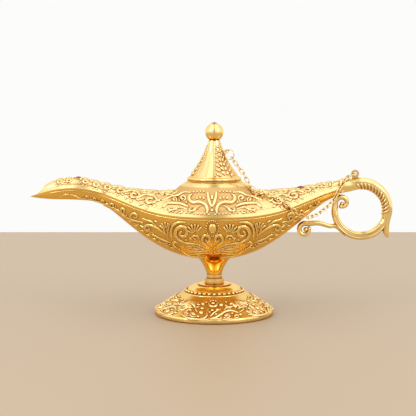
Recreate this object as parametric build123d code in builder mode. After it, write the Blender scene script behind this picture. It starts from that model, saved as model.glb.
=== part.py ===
"""An oil lamp of the old boat shape: a footed bowl with a spout, a domed deck, a lid on a chain and a handle.

Millimetres, +Z up. The origin is the middle of the foot's underside. The spout points along -X.
Heights are stacked from the foot upwards: foot, stem, bowl, seam, dome, seat of the lid, cone, ball.
"""

import os
from math import atan2, cos, hypot, pi, radians, sin, sqrt

from build123d import *

os.makedirs("parts", exist_ok=True)

# Hull lines: the seam between bowl and deck, and how far the shells go out from it
seam_rise = 14.8
seam_peak = 86.0
bowl_half_width = 36.0
bowl_depth = 29.4
ridge_height = 13.5
width_fall = 1.5
ridge_fall = 1.7
spout_reach = 68.0
spout_half_width = 8.0
spout_depth = 7.5
spout_depth_fall = 1.3
spout_ridge = 5.8
tail_reach = 78.0
tail_half_width = 4.6
tail_depth = 3.9
tail_depth_fall = 1.8
tail_ridge = 5.0
tail_end = 76.0
lip_start = 86.0
lip_length = 26.5
nose_start = 92.0
nose_length = 15.5
lip_blunt = 0.985
nose_blunt = 0.994
deck_cavity_share = 0.42
band_width = 5.0
band_rise = 3.3
end_band_width = 2.4
end_band_rise = 2.4
wall = 1.8
seam_gap = 0.06
tail_solid = 10.0

# Spout mouth
mouth_width = 4.6
mouth_height = 6.0
mouth_depth = 10.0

# Dome and filling neck
dome_radius = 34.4
dome_drop = 11.5
dome_base_rise = 3.0
seat_radius = 16.4
seat_step = 0.6
seat_ledge = 2.9
neck_depth = 5.0

# Stem under the bowl, and the foot
stem_radius = 4.6
stem_length = 9.3
stem_waist = 6.8
stem_waist_share = 0.62
stem_top = 12.5
stem_top_rise = 2.1
foot_margin = 0.4
foot_radius = bowl_half_width + foot_margin
foot_rim_height = 2.6
foot_ridge_radius = 18.9
foot_ridge_height = 13.8
foot_dome_radius = 15.6
foot_dome_rise = 2.6
flange_radius = 9.9
flange_rise = 2.1
flange_thickness = 0.9
collar_radius = 5.8
collar_length = 3.4
neck_radius = 4.8
neck_length = 2.3
foot_wall = 2.2
rim_roll = 1.8
bead_groove = 0.9
boss_radius = 6.5
boss_height = 8.0

# Fasteners
foot_screw_radius = 2.0
foot_screw_grip = 7.5
foot_head_radius = 3.8
foot_head_height = 2.6
washer_radius = 5.0
washer_thickness = 0.8
finial_screw_radius = 1.5
finial_head_radius = 2.4
finial_head_height = 1.6
thread_clearance = 0.05
thread_runout = 1.0
hole_clearance = 0.2
slot_width = 0.9
slot_depth = 0.9

# Lid and finial
lid_clearance = 0.2
lid_overhang = 0.2
lid_rim_height = 2.2
lid_rim_step = 2.0
cone_height = 21.4
cone_top_radius = 3.5
cone_hollow = 1.6
lid_wall = 1.5
plug_depth = 4.6
lid_roof = 3.6
ball_radius = 5.6
ball_seat = 2.6
edge_break = 0.4

# Cabochon gems
gem_radius = 2.1
gem_girdle = 0.8
gem_crown = 0.6
gem_play = 0.05
bezel_wall = 0.9
bezel_height = 0.3
spout_gem_x = -82.6
rear_gem_x = 52.4
finial_gem_radius = 1.7

# Scroll handle
ring_out = 13.6
ring_drop = 12.8
ring_radius = 16.1
arm_start_radius = 4.2
arm_top_radius = 3.6
arm_side_radius = 3.15
arm_low_radius = 2.6
arm_left_radius = 2.0
arm_leave_angle = 100.0
curl_tip_radius = 1.1
inner_curl_back = 11.5
inner_curl_rise = 4.2
inner_curl_start = 4.5
inner_curl_end = 2.4
inner_knob_radius = 1.25
scroll_back = 34.2
scroll_drop = 12.4
scroll_start = 4.1
scroll_end = 2.7
scroll_bar_radius = 1.7
scroll_knob_radius = 1.5
knob_shift = 0.6
spigot_radius = 2.0
spigot_length = 6.0
stalk_radius = 1.25
stalk_arch = 2.0
tip_swell = 0.2
lug_back = 3.9
lug_rise = 2.3
lug_radius = 2.4
lug_hole = 1.1
lug_thickness = 2.2

# Chain, its rings and the pin that holds it to the lid
ring_wire = 0.35
link_wire = 0.3
link_half_width = 1.1
link_pitch = 3.1
link_play = 0.15
open_play = 0.55
pin_angle = -29.0
pin_rise = 15.0
eye_radius = 1.6
eye_gap = 1.2
pin_clearance = 0.1
eye_tilt = 30.0
jump_ring_radius = 3.0
jump_ring_out = 2.25
jump_ring_drop = 1.8
handle_ring_radius = 2.8
ring_droop = 0.4
chain_lift = 2.3

# Radii and heights that follow from the sizes above
neck_bore = seat_radius - seat_ledge
lid_rim_radius = seat_radius + lid_overhang
cone_radius = lid_rim_radius - lid_rim_step
foot_dome_height = foot_ridge_height + foot_dome_rise
flange_height = foot_dome_height + flange_rise
collar_height = flange_height + collar_length
stem_base = collar_height + neck_length
keel_height = stem_base + stem_length
seam_height = keel_height + bowl_depth
dome_centre = seam_height - dome_drop
dome_base = seam_height + dome_base_rise


def blend(x, middle, spout, tail, power):
    """A hull size at x, going from its value amidships to its value in the spout or the tail."""
    end, reach = (spout, spout_reach) if x < 0 else (tail, tail_reach)
    return end + (middle - end) * max(0.0, 1.0 - (x / reach) ** 2) ** power


def lip_taper(x):
    """1 along the hull, falling to 0 at the tip of the pouring lip."""
    return 1.0 - (max(0.0, -x - lip_start) / lip_length) ** 2


def nose_taper(x):
    """1 along the deck, falling to 0 at the deck's rounded nose."""
    return sqrt(max(0.0, 1.0 - (max(0.0, -x - nose_start) / nose_length) ** 2))


def seam(x):
    """Height of the seam."""
    return seam_height + seam_rise * sin(pi / 2 * abs(x) / seam_peak) ** 4


def half_width(x):
    """Half the hull's width at the seam."""
    return blend(x, bowl_half_width, spout_half_width, tail_half_width, width_fall) * lip_taper(x)


def depth(x):
    """Seam down to keel."""
    fall = spout_depth_fall if x < 0 else tail_depth_fall
    return blend(x, bowl_depth, spout_depth, tail_depth, fall) * lip_taper(x)


def ridge(x):
    """Seam up to the deck's ridge."""
    return blend(x, ridge_height, spout_ridge, tail_ridge, ridge_fall) * nose_taper(x)


def band(x):
    """Width and rise of the plain band that borders the deck."""
    wide = blend(x, band_width, end_band_width, end_band_width, width_fall) * lip_taper(x)
    return wide, blend(x, band_rise, end_band_rise, end_band_rise, width_fall) * nose_taper(x)


def dome_height(r):
    """Height of the dome's outside at radius r."""
    return dome_centre + sqrt(dome_radius**2 - r**2)


def deck_height(x, y):
    """Height of the deck's outside at a point seen from above."""
    wide, rise = band(x)
    inner = half_width(x) - wide
    if abs(y) > inner:
        return seam(x) + rise * (half_width(x) - abs(y)) / wide
    sag = ridge(x) - rise
    curve = (inner**2 + sag**2) / (2 * sag)
    height = seam(x) + ridge(x) - curve + sqrt(curve**2 - y**2)
    r = hypot(x, y)
    return max(height, dome_height(r)) if r < dome_radius else height


def stations(spout_tip, tail_tip, spout_count, tail_count):
    """Places of the hull's cross-sections, closer together towards the spout's tip."""
    spout = [-spout_tip * sin(pi / 2 * i / spout_count) for i in range(spout_count, 0, -1)]
    return spout + [tail_tip * i / tail_count for i in range(tail_count + 1)]


# Bowl outside: arcs from seam to keel
lip_tip = lip_start + lip_length * lip_blunt
with BuildPart() as bowl_outside:
    for x in stations(lip_tip, tail_end, 12, 8):
        with BuildSketch(Plane.YZ.offset(x)):
            with BuildLine():
                arc = ThreePointArc(
                    (-half_width(x), seam(x)), (0, seam(x) - depth(x)), (half_width(x), seam(x))
                )
                Line(arc @ 1, arc @ 0)
            make_face()
    loft()

# Bowl inside: the same arcs, one wall further in, open at the top
trough_tip = lip_start + lip_length * sqrt(1.0 - 1.3 * wall / spout_depth)
cavity_end = tail_end - tail_solid
with BuildPart() as bowl_inside:
    for x in stations(trough_tip, cavity_end, 10, 7):
        side = half_width(x) - wall
        with BuildSketch(Plane.YZ.offset(x)):
            with BuildLine():
                arc = ThreePointArc((-side, seam(x)), (0, seam(x) - depth(x) + wall), (side, seam(x)))
                Polyline(arc @ 1, (side, seam(x) + wall), (-side, seam(x) + wall), arc @ 0)
            make_face()
    loft()

# Spigot of the handle, held between the two shells, and the hole for it
ring_x = tail_end + ring_out
ring_z = seam(tail_end) - ring_drop
arm_join = radians(arm_leave_angle)
arm_slope = -cos(arm_join) / sin(arm_join)
arm_z = ring_z + ring_radius * sin(arm_join) - arm_slope * (
    ring_x + ring_radius * cos(arm_join) - tail_end
)
spigot_start = tail_end - spigot_length
with BuildPart() as spigot_hole:
    with BuildSketch(Plane.YZ.offset(spigot_start - hole_clearance)):
        with Locations((0, arm_z)):
            Circle(spigot_radius + hole_clearance / 2)
    extrude(amount=spigot_length + wall)

# Lower shell: bowl, spout trough and the turned stem with its screw hole
with BuildPart() as lower_bowl:
    add(bowl_outside.part)
    with BuildSketch(Plane.XZ):
        with BuildLine():
            base = Line((0, stem_base), (stem_radius, stem_base))
            flare = Spline(
                base @ 1,
                (stem_waist, stem_base + stem_waist_share * stem_length),
                (stem_top, keel_height + stem_top_rise),
                tangents=((0.15, 1), (1, 0.35)),
            )
            buried = flare @ 1 + Vector(0, 2 * wall)
            Polyline(flare @ 1, buried, (0, buried.Y), base @ 0)
        make_face()
    revolve()
    add(bowl_inside.part, mode=Mode.SUBTRACT)
    with BuildSketch(Plane.XY.offset(stem_base)):
        Circle(foot_screw_radius + thread_clearance)
    extrude(amount=foot_screw_grip + thread_runout, mode=Mode.SUBTRACT)
    add(spigot_hole.part, mode=Mode.SUBTRACT)
lower_bowl.part.label = "lower_bowl"
export_step(lower_bowl.part, "parts/lower_bowl.step")

# Upper shell: deck, dome and neck, with the spout's mouth, the neck's bore and two gem seats
nose_tip = nose_start + nose_length * nose_blunt
deck_cavity_tip = nose_start + deck_cavity_share * nose_length
dome_base_radius = sqrt(dome_radius**2 - (dome_base - dome_centre) ** 2)
seat_height = dome_height(seat_radius) + seat_step
neck_base = seat_height - neck_depth


def gem_seat(x):
    """A plane on the deck's ridge, square to it, at x."""
    step = 1.0
    slope = (deck_height(x + step, 0) - deck_height(x - step, 0)) / (2 * step)
    return Plane(origin=(x, 0, deck_height(x, 0)), x_dir=(1, 0, slope), z_dir=(-slope, 0, 1))


with BuildPart() as upper_deck:
    for x in stations(nose_tip, tail_end, 12, 8):
        wide, rise = band(x)
        side, base = half_width(x), seam(x) + seam_gap
        with BuildSketch(Plane.YZ.offset(x)):
            with BuildLine():
                left = Line((-side, base), (wide - side, base + rise))
                crown = ThreePointArc(left @ 1, (0, base + ridge(x)), (side - wide, base + rise))
                right = Line(crown @ 1, (side, base))
                Line(right @ 1, left @ 0)
            make_face()
    loft()
    with BuildSketch(Plane.XZ):
        with BuildLine():
            middle = (dome_base_radius + seat_radius) / 2
            curve = ThreePointArc(
                (dome_base_radius, dome_base),
                (middle, dome_height(middle)),
                (seat_radius, dome_height(seat_radius)),
            )
            Polyline(curve @ 1, (seat_radius, seat_height), (0, seat_height), (0, dome_base), curve @ 0)
        make_face()
    revolve()
    for x in (spout_gem_x, rear_gem_x):
        with BuildSketch(gem_seat(x).offset(-wall / 2)):
            Circle(gem_radius + bezel_wall)
        extrude(amount=wall / 2 + bezel_height)
    for x in stations(deck_cavity_tip, cavity_end, 8, 7):
        side, base = half_width(x) - 1.5 * wall, seam(x)
        with BuildSketch(Plane.YZ.offset(x)):
            with BuildLine():
                arc = ThreePointArc((-side, base), (0, base + ridge(x) - wall), (side, base))
                Polyline(arc @ 1, (side, base - wall), (-side, base - wall), arc @ 0)
            make_face()
    loft(mode=Mode.SUBTRACT)
    with BuildSketch(Plane.XZ):
        with BuildLine():
            inner = dome_radius - wall
            foot_r = sqrt(inner**2 - (dome_base - dome_centre) ** 2)
            middle = (foot_r + neck_bore) / 2
            curve = ThreePointArc(
                (foot_r, dome_base), (middle + wall, dome_height(middle) - 2 * wall), (neck_bore, neck_base)
            )
            Polyline(curve @ 1, (0, neck_base), (0, dome_base), curve @ 0)
        make_face()
    revolve(mode=Mode.SUBTRACT)
    with BuildSketch(Plane.XY.offset(neck_base)):
        Circle(neck_bore)
    extrude(amount=2 * neck_depth, mode=Mode.SUBTRACT)
    with BuildSketch(Plane.YZ.offset(-deck_cavity_tip + 0.5)):
        with Locations((0, seam(-deck_cavity_tip))):
            SlotOverall(mouth_height, mouth_width, rotation=90)
    extrude(amount=-mouth_depth - nose_length, mode=Mode.SUBTRACT)
    for x in (spout_gem_x, rear_gem_x):
        with BuildSketch(gem_seat(x).offset(bezel_height)):
            Circle(gem_radius + gem_play)
        extrude(amount=-gem_girdle, mode=Mode.SUBTRACT)
    add(spigot_hole.part, mode=Mode.SUBTRACT)
upper_deck.part.label = "upper_deck"
export_step(upper_deck.part, "parts/upper_deck.step")


def cabochon(seat, radius):
    """A round polished stone: a short girdle standing in its seat, and a domed crown."""
    with BuildPart() as stone:
        with BuildSketch(Plane(origin=seat.origin, x_dir=seat.x_dir, z_dir=-seat.y_dir)):
            with BuildLine():
                edge = Polyline((0, 0), (radius, 0), (radius, gem_girdle))
                curve = (radius**2 + gem_crown**2) / (2 * gem_crown)
                flank = gem_girdle + gem_crown - curve + sqrt(curve**2 - radius**2 / 4)
                crown = ThreePointArc(edge @ 1, (radius / 2, flank), (0, gem_girdle + gem_crown))
                Line(crown @ 1, edge @ 0)
            make_face()
        revolve(axis=Axis(seat.origin, seat.z_dir))
    return stone.part


for name, x in (("spout_gem", spout_gem_x), ("rear_gem", rear_gem_x)):
    gem = cabochon(gem_seat(x).offset(bezel_height - gem_girdle), gem_radius)
    gem.label = name
    export_step(gem, f"parts/{name}.step")

# Foot: rim, embossed cone, ridge, small dome, flange and neck, hollow below round a screw boss
cone_low = (foot_radius - rim_roll, foot_rim_height + 0.45 * rim_roll)
cone_high = (foot_ridge_radius + 0.4, foot_ridge_height - 0.6)
cone_length = hypot(cone_low[0] - cone_high[0], cone_low[1] - cone_high[1])
inset = (
    foot_wall * (cone_high[1] - cone_low[1]) / cone_length,
    foot_wall * (cone_low[0] - cone_high[0]) / cone_length,
)
roof = foot_dome_height - foot_wall
with BuildPart() as foot:
    with BuildSketch(Plane.XZ):
        with BuildLine():
            rim = Polyline(
                (0, 0),
                (foot_radius - edge_break, 0),
                (foot_radius, edge_break),
                (foot_radius, foot_rim_height - edge_break),
            )
            roll_top = (foot_radius - 0.3 * rim_roll, foot_rim_height + 0.3 * rim_roll)
            rolled = ThreePointArc(rim @ 1, roll_top, cone_low)
            cone = Line(rolled @ 1, cone_high)
            ridge_top = (foot_ridge_radius, foot_ridge_height)
            bead = ThreePointArc(cone @ 1, ridge_top, (foot_ridge_radius - bead_groove, foot_ridge_height))
            groove = Line(bead @ 1, (foot_dome_radius + bead_groove, foot_dome_height - 1.5 * bead_groove))
            shoulder = ThreePointArc(
                groove @ 1,
                (foot_dome_radius - edge_break, foot_dome_height),
                (flange_radius, flange_height - flange_thickness),
            )
            Polyline(
                shoulder @ 1,
                (flange_radius, flange_height),
                (collar_radius, flange_height),
                (collar_radius, collar_height),
                (neck_radius, collar_height),
                (neck_radius, stem_base),
                (0, stem_base),
                (0, 0),
            )
        make_face()
    revolve()
    with BuildSketch(Plane.XZ):
        with BuildLine():
            Polyline(
                (boss_radius, 0),
                (cone_low[0] - inset[0], 0),
                (cone_low[0] - inset[0], cone_low[1] - inset[1]),
                (cone_high[0] - inset[0], cone_high[1] - inset[1]),
                (foot_dome_radius - foot_wall, roof),
                (boss_radius, roof),
                (boss_radius, 0),
            )
        make_face()
    revolve(mode=Mode.SUBTRACT)
    with BuildSketch():
        Circle(boss_radius)
    extrude(amount=boss_height, mode=Mode.SUBTRACT)
    with BuildSketch():
        Circle(foot_screw_radius + hole_clearance)
    extrude(amount=stem_base, mode=Mode.SUBTRACT)
foot.part.label = "foot"
export_step(foot.part, "parts/foot.step")

# Washer under the boss, and the screw that pulls the foot against the stem
washer_base = boss_height - washer_thickness
with BuildPart() as foot_washer:
    with BuildSketch(Plane.XY.offset(washer_base)):
        Circle(washer_radius)
        Circle(foot_screw_radius + hole_clearance, mode=Mode.SUBTRACT)
    extrude(amount=washer_thickness)
foot_washer.part.label = "foot_washer"
export_step(foot_washer.part, "parts/foot_washer.step")


def pan_head_screw(seat, head_radius, head_height, shank_radius, shank_length):
    """A slotted pan-head screw whose head hangs below the seat height and whose shank goes up."""
    with BuildPart() as screw:
        with BuildSketch(Plane.XY.offset(seat)):
            Circle(head_radius)
        extrude(amount=-head_height)
        fillet(screw.edges().group_by(Axis.Z)[0], 0.45 * head_height)
        with BuildSketch(Plane.XY.offset(seat - head_height)):
            Rectangle(2 * head_radius, slot_width)
        extrude(amount=slot_depth, mode=Mode.SUBTRACT)
        with BuildSketch(Plane.XY.offset(seat)):
            Circle(shank_radius)
        extrude(amount=shank_length)
        chamfer(screw.edges().group_by(Axis.Z)[-1], 0.2 * shank_radius)
    return screw.part


foot_screw = pan_head_screw(
    washer_base,
    foot_head_radius,
    foot_head_height,
    foot_screw_radius,
    stem_base + foot_screw_grip - washer_base,
)
foot_screw.label = "foot_screw"
export_step(foot_screw, "parts/foot_screw.step")

# Lid: rim on the seat, plug in the neck, hollow cone, flat top for the finial and a hole for the chain's pin
plug_radius = neck_bore - lid_clearance
plug_base = seat_height - plug_depth
rim_top = seat_height + lid_rim_height
cone_base = rim_top + edge_break
cone_top = cone_base + cone_height
lid_ceiling = cone_top - lid_roof
lid_bore = plug_radius - lid_wall
pin_height = cone_base + pin_rise
pin_azimuth = radians(pin_angle)
outward = Vector(cos(pin_azimuth), sin(pin_azimuth), 0)
sideways = Vector(-sin(pin_azimuth), cos(pin_azimuth), 0)
upward = Vector(0, 0, 1)


def cone_at(z):
    """Outer radius of the lid's hollow-sided cone at a height."""
    share = (z - cone_base) / cone_height
    straight = cone_radius + (cone_top_radius - cone_radius) * share
    return straight - 4 * cone_hollow * share * (1 - share)


def cone_points(inset, low, high, count):
    """Points up the cone's side, drawn in by an inset."""
    heights = [low + (high - low) * i / count for i in range(count + 1)]
    return [(cone_at(z) - inset, z) for z in heights]


with BuildPart() as lid:
    with BuildSketch(Plane.XZ):
        with BuildLine():
            plug = Polyline(
                (0, plug_base),
                (plug_radius - edge_break, plug_base),
                (plug_radius, plug_base + edge_break),
                (plug_radius, seat_height),
                (lid_rim_radius - edge_break, seat_height),
            )
            edge = ThreePointArc(
                plug @ 1,
                (lid_rim_radius, seat_height + 0.4 * lid_rim_height),
                (lid_rim_radius - 2 * edge_break, rim_top - edge_break),
            )
            step = Polyline(edge @ 1, (cone_radius + edge_break, rim_top), (cone_radius, cone_base))
            side = Spline(*cone_points(0, cone_base, cone_top, 6))
            Polyline(side @ 1, (0, cone_top), plug @ 0)
        make_face()
    revolve()
    with BuildSketch(Plane.XZ):
        with BuildLine():
            shaft = Polyline((0, plug_base), (lid_bore, plug_base), (lid_bore, seat_height))
            inner = cone_points(lid_wall, cone_base + 0.2 * cone_height, lid_ceiling, 4)
            hollow = Spline(shaft @ 1, *inner)
            Polyline(hollow @ 1, (0, lid_ceiling), shaft @ 0)
        make_face()
    revolve(mode=Mode.SUBTRACT)
    with BuildSketch(Plane.XY.offset(lid_ceiling)):
        Circle(finial_screw_radius + hole_clearance)
    extrude(amount=lid_roof, mode=Mode.SUBTRACT)
    with BuildSketch(Plane(origin=(0, 0, pin_height), x_dir=sideways, z_dir=outward)):
        Circle(ring_wire + pin_clearance)
    extrude(amount=cone_radius, mode=Mode.SUBTRACT)
lid.part.label = "lid"
export_step(lid.part, "parts/lid.step")

# Finial: a ball on the lid's top, held by a screw from inside, with a gem let into its crown
ball_flat = sqrt(ball_radius**2 - ball_seat**2)
ball_z = cone_top + ball_flat
ball_bore = 0.9 * ball_radius
gem_base = ball_z + sqrt(ball_radius**2 - finial_gem_radius**2) - gem_girdle + gem_play
with BuildPart() as finial_ball:
    with BuildSketch(Plane.XZ):
        with BuildLine():
            flat = Line((0, cone_top), (ball_seat, cone_top))
            round_side = ThreePointArc(flat @ 1, (ball_radius, ball_z), (0, ball_z + ball_radius))
            Line(round_side @ 1, flat @ 0)
        make_face()
    revolve()
    with BuildSketch(Plane.XY.offset(cone_top)):
        Circle(finial_screw_radius + thread_clearance)
    extrude(amount=ball_bore, mode=Mode.SUBTRACT)
    with BuildSketch(Plane.XY.offset(gem_base)):
        Circle(finial_gem_radius + gem_play)
    extrude(amount=ball_radius, mode=Mode.SUBTRACT)
finial_ball.part.label = "finial_ball"
export_step(finial_ball.part, "parts/finial_ball.step")

finial_gem = cabochon(Plane.XY.offset(gem_base), finial_gem_radius)
finial_gem.label = "finial_gem"
export_step(finial_gem, "parts/finial_gem.step")

finial_screw = pan_head_screw(
    lid_ceiling,
    finial_head_radius,
    finial_head_height,
    finial_screw_radius,
    lid_roof + ball_bore - hole_clearance,
)
finial_screw.label = "finial_screw"
export_step(finial_screw, "parts/finial_screw.step")

# Pin in the lid's side: a straight shank through the wall and an eye bent from the same wire
tilt = radians(eye_tilt)
eye_up = sideways * cos(tilt) + upward * sin(tilt)
eye_centre = outward * (cone_at(pin_height) + eye_gap + eye_radius) + upward * pin_height
with BuildPart() as lid_eye_pin:
    with BuildSketch(Plane(origin=(0, 0, pin_height), x_dir=sideways, z_dir=outward).offset(
        cone_at(pin_height) - lid_wall
    )):
        Circle(ring_wire)
    extrude(amount=lid_wall + eye_gap + ring_wire)
    with BuildSketch(Plane(origin=eye_centre, x_dir=outward, z_dir=eye_up)):
        with Locations((eye_radius, 0)):
            Circle(ring_wire)
    revolve(axis=Axis(eye_centre, outward.cross(eye_up)))
lid_eye_pin.part.label = "lid_eye_pin"
export_step(lid_eye_pin.part, "parts/lid_eye_pin.step")


def wire_ring(centre, across, normal, radius):
    """A closed ring of round wire about a centre, lying square to its normal."""
    with BuildPart() as ring:
        with BuildSketch(Plane(origin=centre, x_dir=across, z_dir=normal.cross(across))):
            with Locations((radius, 0)):
                Circle(ring_wire)
        revolve(axis=Axis(centre, normal))
    return ring.part


# Jump ring hanging in the eye, which takes the chain's last link
lid_ring_centre = eye_centre + outward * jump_ring_out - upward * jump_ring_drop
lid_jump_ring = wire_ring(lid_ring_centre, outward, sideways, jump_ring_radius)
lid_jump_ring.label = "lid_jump_ring"
export_step(lid_jump_ring, "parts/lid_jump_ring.step")


def tube(path, first_normal=None):
    """A round bar through (x, z, radius) points in the plane of the lamp."""
    sections = []
    for i, (x, z, radius) in enumerate(path):
        before, after = path[max(i - 1, 0)], path[min(i + 1, len(path) - 1)]
        along = (after[0] - before[0], 0, after[1] - before[1])
        if i == 0 and first_normal:
            along = first_normal
        with BuildSketch(Plane(origin=(x, 0, z), x_dir=(0, 1, 0), z_dir=along)) as section:
            Circle(radius)
        sections.append(section.sketch)
    loft(sections)


def curl(centre, radii, angles, bars, count):
    """Points of a spiral about a centre, drawing in fast at first and then slowly."""
    points = []
    for i in range(count + 1):
        share = i / count
        radius = radii[1] + (radii[0] - radii[1]) * (1 - share) ** 1.6
        angle = radians(angles[0] + (angles[1] - angles[0]) * share)
        bar = bars[0] + (bars[1] - bars[0]) * share
        points.append((centre[0] + radius * cos(angle), centre[1] + radius * sin(angle), bar))
    return points


def on_ring(start, end, bars, count):
    """Points along the handle's ring between two angles."""
    points = []
    for i in range(count + 1):
        angle = radians(start + (end - start) * i / count)
        bar = bars[0] + (bars[1] - bars[0]) * i / count
        points.append((ring_x + ring_radius * cos(angle), ring_z + ring_radius * sin(angle), bar))
    return points


# Handle: an upper arm out of the tail with a leaf tip, a lower arm that curls in, a scroll against the bowl
lug_x = ring_x - lug_back
lug_z = ring_z + ring_radius + arm_top_radius + lug_rise
arm_start = (tail_end + seam_gap, arm_z, arm_start_radius)
arm_touch = on_ring(arm_leave_angle, arm_leave_angle, (arm_top_radius, arm_top_radius), 1)[0]
arm_middle = tuple((a + b) / 2 for a, b in zip(arm_start, arm_touch))
leaf = [
    (ring_x + ring_radius * out, ring_z - ring_radius * down, arm_side_radius * bar)
    for out, down, bar in (
        (0.938, 0.516, 0.79),
        (0.950, 0.770, 0.67),
        (0.994, 0.963, 0.44),
        (1.037, 1.075, 0.16),
    )
]
upper_path = [arm_start, arm_middle, *on_ring(arm_leave_angle, 0, (arm_top_radius, arm_side_radius), 8)]
upper_path += [*on_ring(-15, -15, (arm_side_radius - 0.2,) * 2, 1)[:1], *leaf]
lower_path = [
    *on_ring(-24, -90, (arm_low_radius, arm_low_radius), 5)[:-1],
    *on_ring(-90, -180, (arm_low_radius, arm_left_radius), 7),
]
inner_centre = (ring_x - inner_curl_back, ring_z + inner_curl_rise)
inner_bars = (arm_left_radius - 0.2, curl_tip_radius)
inner_curl = curl(inner_centre, (inner_curl_start, inner_curl_end), (195, -110), inner_bars, 16)
scroll_centre = (ring_x - scroll_back, ring_z - scroll_drop)
scroll_bars = (scroll_bar_radius, curl_tip_radius)
scroll_curl = curl(scroll_centre, (scroll_start, scroll_end), (70, 375), scroll_bars, 16)
stalk_foot = on_ring(-126, -126, (stalk_radius, stalk_radius), 1)[0]
stalk = [
    (
        stalk_foot[0] + (scroll_curl[0][0] - stalk_foot[0]) * share,
        stalk_foot[1] + (scroll_curl[0][1] - stalk_foot[1]) * share + stalk_arch * rise,
        stalk_radius + (scroll_bar_radius - stalk_radius) * share,
    )
    for share, rise in ((0.16, 0.32), (0.36, 0.63), (0.6, 0.8), (0.81, 0.58))
]
with BuildPart() as handle:
    tube(upper_path, (1, 0, 0))
    tube(lower_path + inner_curl)
    tube([stalk_foot, *stalk, *scroll_curl])
    for centre, tip, knob_radius in (
        (inner_centre, inner_curl[-1], inner_knob_radius),
        (scroll_centre, scroll_curl[-1], scroll_knob_radius),
    ):
        with Locations((tip[0], 0, tip[1])):
            Sphere(tip[2] + tip_swell)
        toward_tip = Vector(tip[0] - centre[0], 0, tip[1] - centre[1]).normalized()
        with Locations(Vector(centre[0], 0, centre[1]) + toward_tip * knob_shift):
            Sphere(knob_radius)
    with BuildSketch(Plane.XZ.offset(-lug_thickness / 2)):
        with Locations((lug_x, lug_z)):
            Circle(lug_radius)
        with Locations((lug_x, lug_z - lug_radius)):
            Rectangle(1.5 * lug_radius, 2 * lug_radius)
    extrude(amount=lug_thickness)
    with BuildSketch(Plane.XZ.offset(-lug_thickness)):
        with Locations((lug_x, lug_z)):
            Circle(lug_hole)
    extrude(amount=2 * lug_thickness, mode=Mode.SUBTRACT)
    add(bowl_outside.part, mode=Mode.SUBTRACT)
    with BuildSketch(Plane.YZ.offset(spigot_start)):
        with Locations((0, arm_z)):
            Circle(spigot_radius)
    extrude(amount=spigot_length + arm_start_radius)
handle.part.label = "handle"
export_step(handle.part, "parts/handle.step")

# Jump ring through the handle's lug, lying back along the arm
ring_back = Vector(-1, 0, -ring_droop).normalized()
front = Vector(0, -1, 0)
handle_ring_centre = Vector(lug_x, 0, lug_z) + ring_back * handle_ring_radius
handle_ring_normal = ring_back.cross(front)
handle_jump_ring = wire_ring(handle_ring_centre, ring_back, handle_ring_normal, handle_ring_radius)
handle_jump_ring.label = "handle_jump_ring"
export_step(handle_jump_ring, "parts/handle_jump_ring.step")


def on_deck(x, y):
    """A place of the chain where it lies on the deck."""
    return Vector(x, y, deck_height(x, y) + chain_lift)


def past_rim(x, out, rise):
    """A place of the chain near the seam on the front side, given from the seam's edge."""
    return Vector(x, -half_width(x) - out, seam(x) + rise)


def beside_tail(x, y, z):
    """A place of the chain in the air, given from the seam's end at the tail."""
    return Vector(tail_end + x, y, seam(tail_end) + z)


# Chain: it hangs from the handle's ring in front of the tail and goes over the rim and up to the lid's ring
wire_gap = (ring_wire + link_wire + link_play) / 2
handle_pull = (ring_back + front).normalized()
chain_start = handle_ring_centre + handle_pull * (handle_ring_radius - wire_gap)
lid_pull = (outward * 0.57 - upward * 0.82).normalized()
chain_end = lid_ring_centre + lid_pull * (jump_ring_radius - wire_gap - open_play)
route = Spline(
    chain_start,
    beside_tail(2.0, -5.4, 4.5),
    beside_tail(-1.0, -7.6, -0.8),
    beside_tail(-4.6, -9.8, -6.3),
    beside_tail(-10.4, -13.4, -11.3),
    beside_tail(-17.5, -17.6, -15.0),
    beside_tail(-23.4, -20.6, -15.0),
    past_rim(47.4, 2.7, -2.7),
    past_rim(43.8, 0.2, 2.0),
    on_deck(39.2, -19.9),
    on_deck(33.4, -16.0),
    on_deck(27.8, -12.0),
    on_deck(22.8, -9.4),
    (lid_rim_radius + 2.2, -8.6, rim_top + 0.2),
    (lid_rim_radius - 1.6, -7.8, rim_top + 5.5),
    chain_end,
)
link_count = round(route.length / link_pitch)
pivots = [route.position_at(i / link_count) for i in range(link_count + 1)]
spacing = route.length / link_count
link_straight = (spacing + 2 * link_wire + link_play) / 2 - link_half_width
directions = [(b - a).normalized() for a, b in zip(pivots, pivots[1:])]


def square_to(vector, along):
    """The part of a vector that is square to a direction."""
    return (vector - along * vector.dot(along)).normalized()


def roll(vector, along, angle):
    """A vector square to a direction, turned about it."""
    return vector * cos(angle) + along.cross(vector) * sin(angle)


# Each link is turned a quarter against the one before, plus a share of the twist between the two end rings
carried = [square_to(handle_ring_normal.cross(handle_pull), directions[0])]
for along in directions[1:]:
    carried.append(square_to(carried[-1], along))
last = roll(carried[-1], directions[-1], (link_count - 1) * pi / 2)
wanted = square_to(sideways.cross(lid_pull), directions[-1])
twist = atan2(directions[-1].dot(last.cross(wanted)), last.dot(wanted))
twist -= pi * round(twist / pi)


def chain_link(centre, along, normal):
    """One oval link of round wire, lying along a direction and square to a normal."""
    with BuildPart() as link:
        with BuildLine(Plane(origin=centre, x_dir=along, z_dir=normal)) as loop:
            top = Line((-link_straight, link_half_width), (link_straight, link_half_width))
            reach = link_straight + link_half_width
            far = ThreePointArc(top @ 1, (reach, 0), (link_straight, -link_half_width))
            low = Line(far @ 1, (-link_straight, -link_half_width))
            ThreePointArc(low @ 1, (-reach, 0), top @ 0)
        with BuildSketch(Plane(origin=loop.line @ 0, z_dir=loop.line % 0)):
            Circle(link_wire)
        sweep(path=loop.line)
    return link.part


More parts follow.
